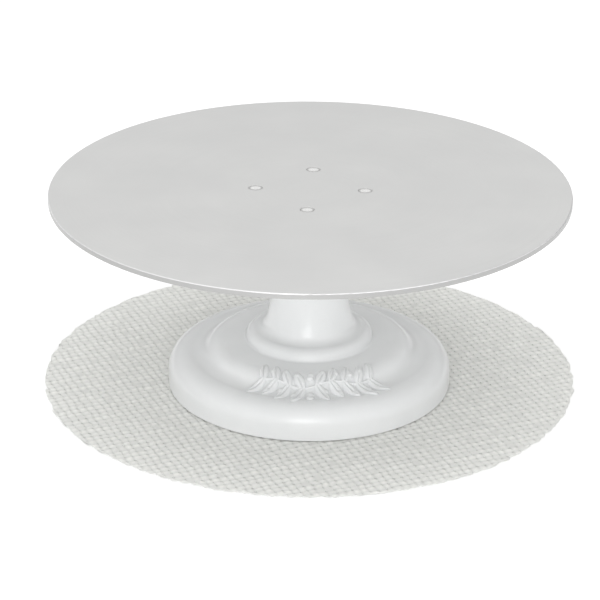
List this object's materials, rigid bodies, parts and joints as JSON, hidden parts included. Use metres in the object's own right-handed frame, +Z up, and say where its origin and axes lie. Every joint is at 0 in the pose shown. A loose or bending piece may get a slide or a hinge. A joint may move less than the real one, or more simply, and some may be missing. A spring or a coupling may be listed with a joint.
{
  "type": "cake turntable",
  "caption": "Round flat plate turning by hand on an enamelled cast pedestal with a thrust bearing, standing on a loose round non-slip mat.",
  "frame": {"origin": "on the spindle's axis, at table level, which is the mat's underside", "axes": "+Z up along the spindle's axis; +Y points to the back, so the pictured front faces -Y"},
  "size_m": [0.318, 0.3204, 0.124],
  "materials": {
    "plate_aluminium": "fine satin, bright rounded rim",
    "rivet_aluminium": "satin, slightly dished heads",
    "hub_aluminium": "turned casting",
    "black_steel": "black oxide",
    "ground_steel": "ground",
    "bronze": "turned sintered bronze",
    "bearing_steel": "ground and polished races",
    "ball_steel": "polished",
    "nylon": "moulded nylon",
    "cap_steel": "zinc plated pressing",
    "white_enamel": "cast iron under glossy white enamel",
    "mat_foam": "foam-coated open weave, matte"
  },
  "bodies": {
    "base": {"base_casting": "white_enamel", "non_slip_mat": "mat_foam", "upper_bush": "bronze", "lower_bush": "bronze", "thrust_lower_washer": "bearing_steel", "dust_ring": "nylon", "grease_cap": "cap_steel"},
    "turntable": {"plate": "plate_aluminium", "plate_rivets": "rivet_aluminium", "hub_flange": "hub_aluminium", "hub_set_screws": "black_steel", "spindle": "ground_steel", "thrust_upper_washer": "bearing_steel", "retaining_ring": "black_steel", "retaining_washer": "bronze"},
    "ball_cage": {"thrust_cage": "nylon", "thrust_balls": "ball_steel"}
  },
  "joints": [
    {"name": "turntable_spin", "type": "hinge", "parent": "base", "child": "turntable", "pos_m": [0, 0, 0.1028], "axis": [0, 0, 1], "continuous": true},
    {"name": "cage_spin", "type": "hinge", "parent": "base", "child": "ball_cage", "pos_m": [0, 0, 0.1028], "axis": [0, 0, 1], "continuous": true}
  ],
  "couplings": [
    {"joint": "cage_spin", "follows": "turntable_spin", "ratio": 0.5}
  ]
}
